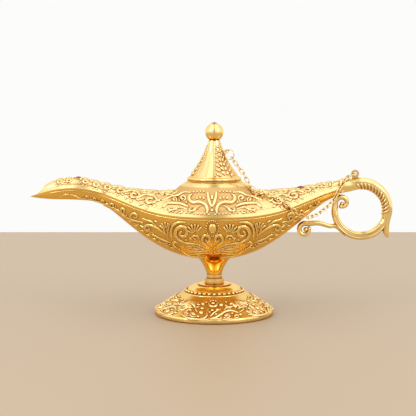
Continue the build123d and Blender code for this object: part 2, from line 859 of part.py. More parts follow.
for i, (along, normal) in enumerate(zip(directions, carried)):
    turned = roll(normal, along, i * pi / 2 + twist * i / (link_count - 1))
    link = chain_link((pivots[i] + pivots[i + 1]) / 2, along, turned)
    link.label = f"chain_link_{i + 1:02d}"
    export_step(link, f"parts/{link.label}.step")

print("chain", link_count, "links", round(route.length, 1), "mm, spacing", round(spacing, 3))
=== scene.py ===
"""The look of the boat-shaped oil lamp: cast gold shells with scroll relief, red stones, a fine chain."""

from math import cos, pi, radians, sin

import bmesh
import bpy
from mathutils import Matrix, Vector
from mathutils.bvhtree import BVHTree


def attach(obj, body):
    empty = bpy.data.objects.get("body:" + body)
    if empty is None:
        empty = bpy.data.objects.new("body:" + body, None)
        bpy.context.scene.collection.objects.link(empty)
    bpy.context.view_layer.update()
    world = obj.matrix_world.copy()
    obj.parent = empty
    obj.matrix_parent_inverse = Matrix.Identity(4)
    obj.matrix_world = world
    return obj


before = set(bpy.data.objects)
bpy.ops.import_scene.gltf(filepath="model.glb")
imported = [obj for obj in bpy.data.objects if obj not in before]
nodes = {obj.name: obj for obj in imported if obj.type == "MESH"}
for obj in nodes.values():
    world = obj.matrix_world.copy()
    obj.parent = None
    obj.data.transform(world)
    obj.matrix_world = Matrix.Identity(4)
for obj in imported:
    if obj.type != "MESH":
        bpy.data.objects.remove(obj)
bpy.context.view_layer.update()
scene = bpy.context.scene
scene.view_settings.view_transform = "Standard"

# Camera: in front of the lamp and a little above it, looking slightly down through a long lens.
# The picture is square, and the lamp's axis stands a little right of its middle.
picture = 416.0
focal_pixels = 1119.0
axis_pixel = 214.3
camera_pitch = radians(5.9)
camera_place = Vector((0.0, -0.680, 0.1352))
camera_data = bpy.data.cameras.new("camera")
camera_data.sensor_width = 36.0
camera_data.lens = focal_pixels * camera_data.sensor_width / picture
camera_data.shift_x = (picture / 2 - axis_pixel) / picture
camera = bpy.data.objects.new("camera", camera_data)
camera.location = camera_place
camera.rotation_euler = (pi / 2 - camera_pitch, 0, 0)
scene.collection.objects.link(camera)
scene.camera = camera

# Foot: one round casting with a plain rolled rim, an embossed cone and a small dome, screwed under the stem.
# Like all the castings it is gold-coloured, polished on what stands out, and painted darker and redder as
# shade in the recesses and on the ground between the ornament, which has a fine punched grain.
# Painted shade: how far ambient occlusion and the punched ground darken the colour of the gold.
hollow_samples = 8
hollow_low = 0.57
hollow_high = 0.965
painted_ground_shade = -0.2
ground_dullness = 0.14
grain_scale = 900.0
grain_edge = 0.0006
grain_strength = 0.25
grain_depth = 0.0003
edge_tint = (1.0, 0.82, 0.51, 1)


def math_node(tree, operation, *values):
    """The result of a Math node; each value is a number or a socket."""
    node = tree.nodes.new("ShaderNodeMath")
    node.operation = operation
    for slot, value in zip(node.inputs, values):
        if isinstance(value, float):
            slot.default_value = value
        else:
            tree.links.new(value, slot)
    return node.outputs["Value"]


def between(tree, value, low, high, ease="LINEAR"):
    """How far a value has gone from one level to another, from 0 to 1."""
    node = tree.nodes.new("ShaderNodeMapRange")
    node.interpolation_type = ease
    node.inputs["From Min"].default_value = low
    node.inputs["From Max"].default_value = high
    tree.links.new(value, node.inputs["Value"])
    return node.outputs["Result"]


def colour_mix(tree, factor, first, second):
    """A colour between two others; each of these is a colour or a socket."""
    node = tree.nodes.new("ShaderNodeMix")
    node.data_type = "RGBA"
    tree.links.new(factor, node.inputs["Factor"])
    for name, value in (("A", first), ("B", second)):
        if isinstance(value, tuple):
            node.inputs[name].default_value = (*value, 1)
        else:
            tree.links.new(value, node.inputs[name])
    return node.outputs["Result"]


def gold_surface():
    """Node group: colour with painted shade in recesses, roughness and grain height of cast gold."""
    group = bpy.data.node_groups.new("cast_gold", "ShaderNodeTree")
    sockets = (
        ("Crown", "INPUT", "NodeSocketColor"), ("Painted Recess Shade", "INPUT", "NodeSocketColor"),
        ("Reach", "INPUT", "NodeSocketFloat"), ("Polish", "INPUT", "NodeSocketFloat"),
        ("Grain And Shade Mask", "INPUT", "NodeSocketFloat"), ("Color", "OUTPUT", "NodeSocketColor"),
        ("Roughness", "OUTPUT", "NodeSocketFloat"), ("Height", "OUTPUT", "NodeSocketFloat"),
    )
    for name, way, kind in sockets:
        group.interface.new_socket(name, in_out=way, socket_type=kind)
    link = group.links.new
    given = group.nodes.new("NodeGroupInput").outputs
    out = group.nodes.new("NodeGroupOutput").inputs
    # Painted shade: where ambient occlusion finds a recess, or on the punched ground, the colour turns dark
    # and red.
    hollow = group.nodes.new("ShaderNodeAmbientOcclusion")
    hollow.samples = hollow_samples
    link(given["Reach"], hollow.inputs["Distance"])
    openness = between(group, hollow.outputs["AO"], hollow_low, hollow_high)
    ground = math_node(group, "MULTIPLY_ADD", given["Grain And Shade Mask"], painted_ground_shade, 1.0)
    crown_share = math_node(group, "MULTIPLY", openness, ground)
    link(colour_mix(group, crown_share, given["Painted Recess Shade"], given["Crown"]), out["Color"])
    place = group.nodes.new("ShaderNodeTexCoord")
    grain = group.nodes.new("ShaderNodeTexVoronoi")
    grain.inputs["Scale"].default_value = grain_scale
    link(place.outputs["Object"], grain.inputs["Vector"])
    link(math_node(group, "MULTIPLY", grain.outputs["Distance"], given["Grain And Shade Mask"]), out["Height"])
    dull = math_node(group, "MULTIPLY_ADD", given["Grain And Shade Mask"], ground_dullness, given["Polish"])
    link(dull, out["Roughness"])
    return group


gold_group = gold_surface()


def grain_and_shade_mask(tree, quantity, low, high, depth):
    """Mask of the punched ground, for its grain and its painted shade: where a radius or height in metres
    lies between two levels.
    """
    place = tree.nodes.new("ShaderNodeTexCoord")
    split = tree.nodes.new("ShaderNodeSeparateXYZ")
    tree.links.new(place.outputs["Object"], split.inputs["Vector"])
    measure = split.outputs["Z"]
    if quantity == "radius":
        flat = tree.nodes.new("ShaderNodeCombineXYZ")
        tree.links.new(split.outputs["X"], flat.inputs["X"])
        tree.links.new(split.outputs["Y"], flat.inputs["Y"])
        length = tree.nodes.new("ShaderNodeVectorMath")
        length.operation = "LENGTH"
        tree.links.new(flat.outputs["Vector"], length.inputs[0])
        measure = length.outputs["Value"]
    above_low = between(tree, measure, low - grain_edge, low + grain_edge, "SMOOTHSTEP")
    below_high = between(tree, measure, high + grain_edge, high - grain_edge, "SMOOTHSTEP")
    return math_node(tree, "MULTIPLY", math_node(tree, "MULTIPLY", above_low, below_high), depth)


def gold_material(name, crown, painted_shade, polish, reach=0.002, grain=None):
    """A gold finish with painted shade in its recesses; grain gives the punched part of the piece, as the
    ground's mask takes it, which also gets painted shade.
    """
    material = bpy.data.materials.new(name)
    material.use_nodes = True
    tree = material.node_tree
    shader = tree.nodes["Principled BSDF"]
    shader.inputs["Metallic"].default_value = 1.0
    shader.inputs["Specular Tint"].default_value = edge_tint
    cast = tree.nodes.new("ShaderNodeGroup")
    cast.node_tree = gold_group
    cast.inputs["Crown"].default_value = (*crown, 1)
    cast.inputs["Painted Recess Shade"].default_value = (*painted_shade, 1)
    cast.inputs["Polish"].default_value = polish
    cast.inputs["Reach"].default_value = reach
    tree.links.new(cast.outputs["Color"], shader.inputs["Base Color"])
    tree.links.new(cast.outputs["Roughness"], shader.inputs["Roughness"])
    if grain:
        tree.links.new(grain_and_shade_mask(tree, *grain), cast.inputs["Grain And Shade Mask"])
        bump = tree.nodes.new("ShaderNodeBump")
        bump.inputs["Strength"].default_value = grain_strength
        bump.inputs["Distance"].default_value = grain_depth
        tree.links.new(cast.outputs["Height"], bump.inputs["Height"])
        tree.links.new(bump.outputs["Normal"], shader.inputs["Normal"])
    return material


def finish_node(node, material):
    """Gives a CAD node's slots one material."""
    for held in nodes[node].material_slots:
        held.material = material


# Painted shade: the dark red-brown that the gold turns in recesses and on the punched ground.
painted_recess_shade = (0.40, 0.14, 0.012)
cone_inner = 0.0192
cone_outer = 0.0342
# The punched ground of the foot's cone gets a grain and painted shade.
foot_grain_and_shade = ("radius", cone_inner, cone_outer, 0.6)
finish_node("foot", gold_material("foot_gold", (1.0, 0.75, 0.30), painted_recess_shade, 0.13, grain=foot_grain_and_shade))

# Vine of the foot: scrolls, drops and fans of leaves, cast with the cone they stand on.
# One unit is drawn on the front, through points of the picture, and repeated round the foot.
mm = 0.001
stroke_sink = 0.1
boss_rings = 6
curl_points = 12
curl_ease = 1.15
swell_ease = 0.7


def look_through(px, py):
    """Direction from the camera through a point of the picture."""
    right = (px - axis_pixel) / focal_pixels
    rise = (picture / 2 - py) / focal_pixels
    return Vector((
        right,
        cos(camera_pitch) + rise * sin(camera_pitch),
        rise * cos(camera_pitch) - sin(camera_pitch),
    )).normalized()


def carrier(node):
    """The surface of a CAD node, for laying ornament on."""
    shape = bmesh.new()
    shape.from_mesh(nodes[node].data)
    tree = BVHTree.FromBMesh(shape)
    shape.free()
    return tree


def cast_piece(name, mesh, body, material):
    """Puts a finished mesh into the scene, as ornament that moves with a body."""
    mesh.materials.clear()
    mesh.materials.append(material)
    piece = bpy.data.objects.new(name, mesh)
    scene.collection.objects.link(piece)
    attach(piece, body)


def scroll_piece(name, strokes, body, material, weight=1.0):
    """One casting of many raised lines: each stroke is a list of (place, outward normal, radius in mm)."""
    curve = bpy.data.curves.new(name, "CURVE")
    curve.dimensions = "3D"
    curve.bevel_depth = mm
    curve.bevel_resolution = 2
    curve.use_fill_caps = True
    curve.resolution_u = 3
    for stroke in strokes:
        if len(stroke) < 3:
            continue
        spline = curve.splines.new("NURBS")
        spline.points.add(len(stroke) - 1)
        for point, (place, normal, radius) in zip(spline.points, stroke):
            point.co = (*(place - normal * radius * weight * stroke_sink * mm), 1)
            point.radius = radius * weight
        spline.order_u = 3
        spline.use_endpoint_u = True
    drawn = bpy.data.objects.new(name + "_line", curve)
    scene.collection.objects.link(drawn)
    mesh = bpy.data.meshes.new_from_object(drawn.evaluated_get(bpy.context.evaluated_depsgraph_get()))
    bpy.data.objects.remove(drawn)
    cast_piece(name, mesh, body, material)


def boss_piece(name, bosses, body, material):
    """One casting of many rounded bosses: each is (place, normal, along, half sizes in mm)."""
    shape = bmesh.new()
    for place, normal, along, (length, width, height) in bosses:
        side = normal.cross(along).normalized()
        ahead = side.cross(normal)
        turn = Matrix((ahead, side, normal)).transposed().to_4x4()
        size = Matrix.Diagonal((length * mm, width * mm, height * mm, 1))
        stand = Matrix.Translation(place) @ turn @ size
        bmesh.ops.create_uvsphere(
            shape, u_segments=boss_rings + 2, v_segments=boss_rings, radius=1, matrix=stand
        )
    mesh = bpy.data.meshes.new(name)
    shape.to_mesh(mesh)
    shape.free()
    mesh.polygons.foreach_set("use_smooth", [True] * len(mesh.polygons))
    cast_piece(name, mesh, body, material)


def spiral(centre, start_radius, end_radius, start, end, flat=1.0):
    """Points of a curl about a centre, between two angles in degrees, flattened if it lies on a slope."""
    points = []
    for i in range(curl_points + 1):
        share = i / curl_points
        radius = end_radius + (start_radius - end_radius) * (1 - share) ** curl_ease
        angle = radians(start + (end - start) * share)
        points.append((centre[0] + radius * cos(angle), centre[1] + flat * radius * sin(angle)))
    return points


def swell(points, thick, start=0.35, end=0.5):
    """Gives points a radius that swells in the middle and thins towards the ends."""
    last = len(points) - 1
    sized = []
    for i, (u, v) in enumerate(points):
        share = i / last
        ends = start * (1 - share) + end * share
        sized.append((u, v, thick * (ends + (1 - ends) * sin(pi * share) ** swell_ease)))
    return sized


def on_front(tree, px, py):
    """The place on a casting's front that the picture shows at a point."""
    place, normal, _, _ = tree.ray_cast(camera_place, look_through(px, py))
    return (place, normal) if place else None


def front_line(tree, points):
    """A stroke on a casting through points of the picture with radii."""
    hits = [(on_front(tree, px, py), radius) for px, py, radius in points]
    return [(*hit, radius) for hit, radius in hits if hit and hit[0].y < 0]


def front_boss(kept, tree, px, py, toward, sizes):
    """Sets one boss on a casting's front at a point of the picture, its length towards another point."""
    hit = on_front(tree, px, py)
    aim = on_front(tree, *toward)
    if hit and aim:
        along = aim[0] - hit[0]
        along = (along - hit[1] * along.dot(hit[1])).normalized()
        kept.append((*hit, along, sizes))


# Painted highlight: the relief is painted lighter than the ground it stands on, with painted shade in its
# recesses.
relief_gold_highlighted = gold_material("relief_gold_highlighted", (1.0, 0.80, 0.40), (0.46, 0.17, 0.015), 0.16, 0.0012)
foot_tree = carrier("foot")
foot_units = 5
foot_weight = 2.0
drop_scale = 1.2
drop_height = 1.0
drop_aim = 1.5
foot_leaf = (3.4, 0.95, 1.0)
# Each line: columns and rows of the picture, then its greatest radius in mm.
foot_lines = [
    swell([(197.6, 319.5), (203.2, 319.5), (206.2, 316.4), (207.6, 312.6), (208.2, 308.6)], 0.5),
    swell([(203.4, 319.8), (209.6, 319.5), (215.4, 317.9), (219.6, 315.3), (223.6, 312.3), (228.2, 310.5),
           (233.4, 310.9), (238.2, 312.8)], 0.58),
    swell([(203.4, 319.8), (197.0, 319.3), (191.0, 319.0), (185.4, 317.4), (181.4, 314.6)], 0.5),
    swell(spiral((226.9, 315.9), 3.6, 0.9, 150, -260, 0.72), 0.5),
    swell(spiral((236.2, 316.2), 3.0, 0.8, 150, -260, 0.72), 0.45),
    swell(spiral((193.2, 314.8), 3.6, 0.9, 30, 440, 0.72), 0.5),
    swell(spiral((186.8, 314.0), 2.6, 0.7, 30, 440, 0.72), 0.42),
    swell([(208.6, 302.6), (209.6, 305.6), (213.1, 307.2), (216.8, 305.6), (218.0, 302.6)], 0.55),
    swell(spiral((198.4, 303.6), 2.0, 0.6, 0, 330, 0.8), 0.4),
    swell([(223.8, 302.8), (225.6, 306.0), (229.2, 307.6), (232.6, 306.6), (233.8, 303.8)], 0.45),
    swell([(210.2, 316.4), (213.0, 313.4), (216.4, 311.0), (220.4, 309.2)], 0.42),
    swell([(197.6, 312.4), (195.4, 309.8), (196.6, 307.0), (199.2, 306.4)], 0.42),
    swell([(223.4, 312.2), (224.2, 309.0), (227.4, 307.4), (230.6, 308.6)], 0.42),
    swell([(238.2, 312.8), (241.4, 311.0), (243.8, 308.4), (243.4, 305.6)], 0.42),
    swell([(184.6, 317.2), (184.4, 313.4), (187.2, 310.2), (191.0, 308.0)], 0.42),
    swell([(212.4, 318.8), (217.4, 318.6), (222.0, 319.6), (227.0, 319.4), (232.0, 318.8)], 0.4),
]
# Each drop: column, row, half length and half width.
foot_drops = (
    (213.1, 303.4, 1.0, 1.0), (210.6, 301.7, 0.6, 0.6), (213.1, 301.2, 0.6, 0.6), (215.7, 301.7, 0.6, 0.6),
    (203.1, 304.2, 1.05, 1.0), (221.2, 304.8, 1.4, 1.1), (231.2, 304.0, 1.1, 1.0), (201.2, 312.4, 1.5, 1.2),
    (202.2, 308.6, 1.0, 0.9), (212.2, 310.6, 0.9, 0.9), (216.2, 314.6, 0.8, 0.8), (226.9, 315.9, 0.8, 0.8),
    (193.2, 314.8, 0.8, 0.8), (190.4, 310.4, 0.8, 0.8), (240.2, 314.8, 0.9, 0.9), (232.2, 313.8, 0.7, 0.7),
    (217.4, 310.0, 1.2, 0.8), (206.2, 303.0, 0.6, 0.6), (225.8, 302.6, 0.6, 0.6), (198.0, 316.8, 0.8, 0.8),
    (220.8, 318.2, 0.7, 0.7), (209.6, 312.6, 0.7, 0.7), (236.0, 303.6, 0.7, 0.7), (189.8, 306.4, 0.7, 0.7),
)
left_fan = ((186.2, 297.8), (189.4, 298.4), (192.4, 299.8), (195.4, 301.2), (183.8, 302.0), (182.8, 306.8))
left_root = (194.6, 308.2)
right_fan = ((230.4, 300.6), (234.0, 299.2), (237.6, 298.4), (241.2, 299.2), (244.4, 302.2), (246.0, 306.6))
right_root = (236.6, 308.8)
unit_strokes = [front_line(foot_tree, line) for line in foot_lines]
unit_bosses = []
for px, py, length, width in foot_drops:
    sizes = (drop_scale * length, drop_scale * width, drop_height)
    front_boss(unit_bosses, foot_tree, px, py, (px, py - drop_aim), sizes)
for root, tips in ((left_root, left_fan), (right_root, right_fan)):
    for px, py in tips:
        middle = ((px + root[0]) / 2, (py + root[1]) / 2)
        front_boss(unit_bosses, foot_tree, *middle, (px, py), foot_leaf)
foot_strokes = []
foot_bosses = []
for unit in range(foot_units):
    turn = Matrix.Rotation(2 * pi * unit / foot_units, 3, "Z")
    for stroke in unit_strokes:
        foot_strokes.append([(turn @ place, turn @ normal, radius) for place, normal, radius in stroke])
    for place, normal, along, sizes in unit_bosses:
        foot_bosses.append((turn @ place, turn @ normal, turn @ along, sizes))
scroll_piece("foot_vine", foot_strokes, "base", relief_gold_highlighted, foot_weight)
boss_piece("foot_flowers", foot_bosses, "base", relief_gold_highlighted)

# Bead ring of the foot: a row of pearls in the groove between the cone's ridge and the small dome.
# They are cast with the foot, so that each is partly sunk in it.
bead_count = 36
bead_ring = 0.0175
bead_lift = 0.0003
bead_sizes = (1.05, 1.05, 1.05)
above_foot = 0.05
up = Vector((0, 0, 1))
bead_bosses = []
for i in range(bead_count):
    angle = 2 * pi * i / bead_count
    out = Vector((cos(angle), sin(angle), 0))
    place, _, _, _ = foot_tree.ray_cast(out * bead_ring + up * above_foot, -up)
    bead_bosses.append((place + up * bead_lift, up, out, bead_sizes))
boss_piece("foot_beads", bead_bosses, "base", relief_gold_highlighted)

# Lower shell: the bowl with its spout trough and turned stem, one casting that stands on the foot.
# Scrolls on a punched ground cover its sides, and the stem is plain and polished; both are painted redder
# than the deck.
# The scrolls are drawn on the front, through points of the picture, and mirrored to the back.
ornament_low = 0.0375
ornament_high = 0.0675
# The punched ground of the bowl's sides gets a grain and painted shade.
bowl_grain_and_shade = ("height", ornament_low, ornament_high, 0.4)
# Painted reflection: the shell's gold is painted orange, standing for the warm table that it mirrors.
bowl_gold_table_reflection = gold_material("bowl_gold_table_reflection", (1.0, 0.62, 0.13), (0.34, 0.10, 0.006), 0.12, 0.0025, bowl_grain_and_shade)
finish_node("lower_bowl", bowl_gold_table_reflection)
# Painted highlight: the bowl's scrolls and bosses are painted lighter and yellower than its orange ground.
bowl_relief_highlighted = gold_material("bowl_relief_gold_highlighted", (1.0, 0.77, 0.28), (0.36, 0.10, 0.007), 0.13, 0.0012)
bowl_tree = carrier("lower_bowl")
bowl_weight = 2.1
motif_axis = 212.4
front_to_back = Vector((1, -1, 1))


def across(px, axis, mirror):
    """A column of the picture, or with mirror -1 the one opposite to it about an axis."""
    return axis + mirror * (px - axis)


def other_side(line, axis):
    """A stroke's points and radii mirrored about an upright line of the picture."""
    return [(across(px, axis, -1), py, radius) for px, py, radius in line]


def strokes_behind(strokes):
    """The strokes of the front laid on the back of the hull, which is its mirror image."""
    return [[(place * front_to_back, normal * front_to_back, radius) for place, normal, radius in stroke]
            for stroke in strokes]


def bosses_behind(bosses):
    """The bosses of the front set on the back of the hull."""
    return [(place * front_to_back, normal * front_to_back, along * front_to_back, sizes)
            for place, normal, along, sizes in bosses]


half_motif = [
    swell([(212.3, 248.8), (208, 246.3), (203.6, 243), (201.6, 239.4), (203.2, 235.9), (206.6, 234.8),
           (209.4, 236.6), (209.8, 239.6), (207.9, 241.6), (205.6, 240.6), (205.8, 238.6)], 0.5),
    swell([(205.5, 247.8), (200, 244.6), (193, 243.6), (186, 243), (180, 240.8), (176.2, 237), (175, 232.4),
           (177, 228), (181, 226), (185.4, 227.2), (187.4, 231), (186, 235.2), (182.4, 236.6),
           (179.6, 234.6), (180.2, 231.8), (182.4, 231.4)], 0.6),
    swell([(171.6, 240), (170.6, 234), (171.4, 228), (174.6, 223.6), (180, 221.8), (186, 222.4)], 0.5),
    swell([(168.6, 239.4), (167.2, 235), (162.4, 231.4), (157.2, 227.8), (151.6, 225), (147, 224.8),
           (144.4, 227.4), (145.6, 230.4), (148.8, 230.6), (150, 228.2), (148, 227)], 0.58),
    swell([(184, 247.6), (189, 245.8), (195, 245.6), (201, 247.4), (207, 250.2)], 0.42),
    swell([(184, 247.6), (189, 250.4), (196, 251.4), (203, 250.8), (207, 250.2)], 0.42),
    swell([(212, 254.2), (206, 252.6), (199, 253), (192, 254.6), (186, 253)], 0.42),
    swell([(174, 244), (168, 241.6), (161, 239), (154, 234.6), (149, 233.4)], 0.45),
    swell([(180, 249.6), (175, 246.6), (172.6, 243.4), (175.4, 241.4), (178, 243)], 0.45),
    swell([(165.4, 237.4), (163.4, 233), (164.4, 228.6), (162.6, 225)], 0.42),
    swell([(167.4, 236), (167.6, 230.6), (169.6, 226.4), (169, 222.8)], 0.42),
    swell([(158.4, 238.6), (160.4, 241.8), (164.6, 244), (168.6, 243.4)], 0.42),
    swell([(205.6, 256.8), (198, 256.4), (190.4, 255.6), (184.4, 252.6), (180.4, 249)], 0.42),
    swell([(157.4, 228.0), (154.6, 223.6), (150.2, 220.8), (145.6, 220.2), (142.6, 218.2)], 0.42),
    swell([(154.2, 233.6), (150.0, 231.6), (146.0, 228.6), (141.6, 226.2), (137.0, 224.0)], 0.4),
    swell([(189.4, 239.0), (192.6, 235.8), (197.0, 235.4), (199.6, 238.2)], 0.4),
    swell([(143, 222.6), (138.6, 221.2), (133, 220.6), (130, 217.4), (131.4, 213.8), (135.2, 213),
           (137.6, 215.6), (136.2, 218), (134, 217)], 0.5),
]
spout_lines = [
    swell(spiral((122.2, 210.3), 3.4, 0.7, 100, -290), 0.46),
    swell(spiral((111.4, 205.2), 2.8, 0.6, 100, -290), 0.42),
    swell(spiral((102.2, 201.7), 2.4, 0.5, 100, -290), 0.38),
    swell(spiral((94.3, 199.3), 2.1, 0.5, 100, -290), 0.36),
    swell(spiral((86.8, 197.4), 1.8, 0.5, 100, -290), 0.34),
    swell([(130, 219.6), (125, 215.2), (119, 210.4), (112, 207.4), (104, 203.6), (96, 200.6), (88, 198.6),
           (80.5, 198.6), (75, 196), (70, 194.4), (64.6, 194.4), (59, 197.6)], 0.4),
    swell([(143, 230), (136.6, 224.6), (129.6, 219), (122, 214.2), (113, 209), (104, 205), (95, 202.2),
           (86, 200.4)], 0.36),
]
tail_lines = [
    swell(spiral((291.2, 217.6), 3.2, 0.7, 80, 470), 0.46),
    swell(spiral((301.8, 212), 2.7, 0.6, 80, 470), 0.42),
    swell(spiral((311, 207.2), 2.3, 0.5, 80, 470), 0.38),
    swell(spiral((319, 203.2), 1.9, 0.5, 80, 470), 0.36),
    swell([(281, 226.4), (287.6, 222.2), (296, 216.8), (304.6, 212.4), (312.8, 207.8), (321, 203.6),
           (329, 198.6)], 0.4),
]
bowl_lines = half_motif + [other_side(line, motif_axis) for line in half_motif] + spout_lines + tail_lines
bowl_strokes = [front_line(bowl_tree, line) for line in bowl_lines]
scroll_piece("bowl_scrolls", bowl_strokes + strokes_behind(bowl_strokes), "base", bowl_relief_highlighted, bowl_weight)

# Bosses of the bowl: an oval boss in a ring of pearls, palmettes, sprays, lobes and a fringe of leaves.
# They are cast with the shell and are half sunk in it.
oval_row = 228.4
oval_sizes = (3.5, 2.6, 1.6)
oval_aim = 8.4
pearl_count = 18
pearl_ring = (6.3, 7.8)
pearl_sizes = (0.62, 0.62, 0.6)
pearl_aim = 4
palmette = ((185.0, 229.6), (187.0, 225.6), (190.8, 223.2), (195.2, 222.4), (199.6, 223.2), (203.0, 225.6))
spray = ((158.4, 224.6), (160.8, 221.6), (165.0, 220.4), (168.8, 221.4))
low_spray = ((169.6, 248.4), (173.4, 250.8), (178, 252))
# Each fan: the tips of its leaves, their root, and the half sizes of a leaf.
bowl_fans = (
    (palmette, (194.8, 233.0), (3.1, 0.8, 0.95)),
    (spray, (166.2, 229.6), (2.5, 0.75, 0.8)),
    (low_spray, (180, 246.2), (2.1, 0.75, 0.8)),
)
keel_leaves = (
    (107.0, 203.8), (113.0, 207.4), (118.6, 211.6), (124.2, 216.2), (130.2, 221.0), (136.2, 225.4),
    (142.2, 230.4), (148.2, 234.8), (154.4, 238.6), (160.6, 242.0), (166.8, 245.2), (173.0, 247.8),
)
keel_leaf = (2.2, 0.75, 0.8)
keel_leaflet = (1.4, 0.6, 0.7)
lobe = (2.9, 1.05, 1.0)
buds = ((152, 222.4), (156, 221.4))
bud = (1.7, 0.75, 0.7)
# Each dot: column, row and radius.
dots = (
    (174.6, 246.6, 0.85), (190.6, 238.2, 0.95), (195.0, 238.6, 0.85), (209.8, 251.6, 0.8),
    (186.4, 239.8, 0.8),
)


def motif_boss(px, py, toward, sizes, mirror):
    """Sets one boss of the bowl's motif, on the left or, with mirror -1, on the right."""
    aim = (across(toward[0], motif_axis, mirror), toward[1])
    front_boss(bowl_bosses, bowl_tree, across(px, motif_axis, mirror), py, aim, sizes)


bowl_bosses = []
front_boss(bowl_bosses, bowl_tree, motif_axis, oval_row, (motif_axis, oval_row - oval_aim), oval_sizes)
for i in range(pearl_count):
    angle = 2 * pi * i / pearl_count
    px = motif_axis + pearl_ring[0] * cos(angle)
    py = oval_row + pearl_ring[1] * sin(angle)
    front_boss(bowl_bosses, bowl_tree, px, py, (px, py - pearl_aim), pearl_sizes)
for mirror in (1, -1):
    for tips, root, sizes in bowl_fans:
        for px, py in tips:
            motif_boss((px + root[0]) / 2, (py + root[1]) / 2, (px, py), sizes, mirror)
    for px, py in keel_leaves:
        motif_boss(px, py, (px + 4, py + 1.2), keel_leaf, mirror)
        motif_boss(px + 2.6, py - 0.8, (px + 4, py - 3.2), keel_leaflet, mirror)
    motif_boss(196.4, 248.2, (203, 249.4), lobe, mirror)
    for px, py in buds:
        motif_boss(px, py, (px - 3, py - 1), bud, mirror)
    for px, py, size in dots:
        motif_boss(px, py, (px + 3, py), (size, size, size), mirror)
boss_piece("bowl_bosses", bowl_bosses + bosses_behind(bowl_bosses), "base", bowl_relief_highlighted)

# Upper shell: the deck with its polished border, the dome round the filling neck and the spout's roof.
# One casting, joined to the lower shell along the seam, with a frieze on a punched ground round the dome.
# The frieze is drawn on the front, through points of the picture, and mirrored to both sides and the back.
bright_gold = (1.0, 0.77, 0.36)
frieze_inner = 0.0205
frieze_outer = 0.0318
# The punched ground round the dome gets a grain and strong painted shade between the frieze.
deck_grain_and_shade = ("radius", frieze_inner, frieze_outer, 2.2)
finish_node("upper_deck", gold_material("deck_gold", bright_gold, painted_recess_shade, 0.12, 0.003, deck_grain_and_shade))
deck_tree = carrier("upper_deck")
frieze_axis = 212.0
frieze_height = 0.7
frieze_aim = 1.5
frieze_lines = [
    swell([(207.6, 192.4), (207.8, 195.6), (208.8, 199.6), (210.2, 203.6), (211.9, 206.8)], 0.62, 0.7, 0.7),
    swell([(206.7, 214.0), (207.9, 210.6), (206.9, 206.2), (203.4, 203.1), (198.4, 201.9), (193.8, 203.0),
           (190.4, 201.4), (188.8, 198.2), (189.8, 195.2), (192.6, 194.4)], 0.8),
    swell([(203.0, 205.0), (198.6, 206.2), (195.4, 208.8), (193.0, 211.2), (190.4, 211.6), (189.2, 209.6),
           (190.8, 208.0), (192.4, 208.8)], 0.6),
    swell([(188.4, 206.6), (184.6, 204.6), (179.4, 203.6), (173.6, 203.4), (168.2, 203.2), (164.4, 205.0),
           (162.8, 207.8)], 0.75),
    swell([(187.6, 209.4), (182.4, 207.2), (177.4, 207.8), (173.8, 210.2), (170.4, 211.0), (168.6, 209.0),
           (170.4, 207.4), (172.4, 208.4)], 0.65),
    swell([(190.6, 193), (186.8, 191.6), (182.4, 192.8), (178.4, 195.6), (172.4, 196.4), (167.4, 198.0),
           (161.4, 200.6)], 0.6),
    swell(spiral((183.0, 198.0), 3.2, 0.8, 60, -330), 0.6),
    swell(spiral((174.8, 199.6), 2.3, 0.7, 60, -330), 0.55),
    swell(spiral((180.6, 211.4), 2.2, 0.6, 200, -190), 0.5),
]
# Each drop: column, row, half length and half width.
frieze_drops = (
    (190.4, 192.4, 0.9, 0.75), (193.8, 192.0, 0.9, 0.75), (197.2, 191.8, 0.9, 0.75),
    (200.6, 191.6, 0.9, 0.75), (204.0, 191.5, 0.9, 0.75), (194.0, 213.6, 0.75, 0.75),
    (197.7, 214.0, 0.75, 0.75), (201.3, 214.3, 0.75, 0.75), (204.9, 214.5, 0.7, 0.7),
    (208.6, 214.6, 0.8, 0.8), (190.2, 213.2, 0.7, 0.7), (186.6, 212.9, 0.7, 0.7), (176.4, 212.6, 0.7, 0.7),
    (173.0, 212.2, 0.7, 0.7), (169.4, 211.8, 0.65, 0.65), (197.0, 198.0, 1.2, 0.7), (200.4, 197.6, 1.2, 0.7),
    (203.8, 198.0, 1.2, 0.7), (179.4, 200.6, 1.0, 0.6), (187.0, 202.4, 1.0, 0.6), (170.2, 200.6, 1.0, 0.6),
    (165.8, 202.2, 1.0, 0.6),
)
both_sides = frieze_lines + [other_side(line, frieze_axis) for line in frieze_lines]
frieze_strokes = [front_line(deck_tree, line) for line in both_sides]
frieze_bosses = []
for mirror in (1, -1):
    for column, py, length, width in frieze_drops:
        px = across(column, frieze_axis, mirror)
        front_boss(frieze_bosses, deck_tree, px, py, (px, py - frieze_aim), (length, width, frieze_height))
front_boss(frieze_bosses, deck_tree, frieze_axis, 210.4, (frieze_axis, 208), (1.3, 0.9, 0.8))
front_boss(frieze_bosses, deck_tree, frieze_axis, 197.0, (frieze_axis, 195), (2.0, 1.0, 0.6))

# Foliage of the deck: a vine with curls and leaves on each side of the ridge, along the spout and the tail.
# It is cast with the deck; the curls grow smaller towards both ends, where the deck is narrow.
deck_weight = 1.7
above_deck = 0.2
least_off_ridge = 0.4
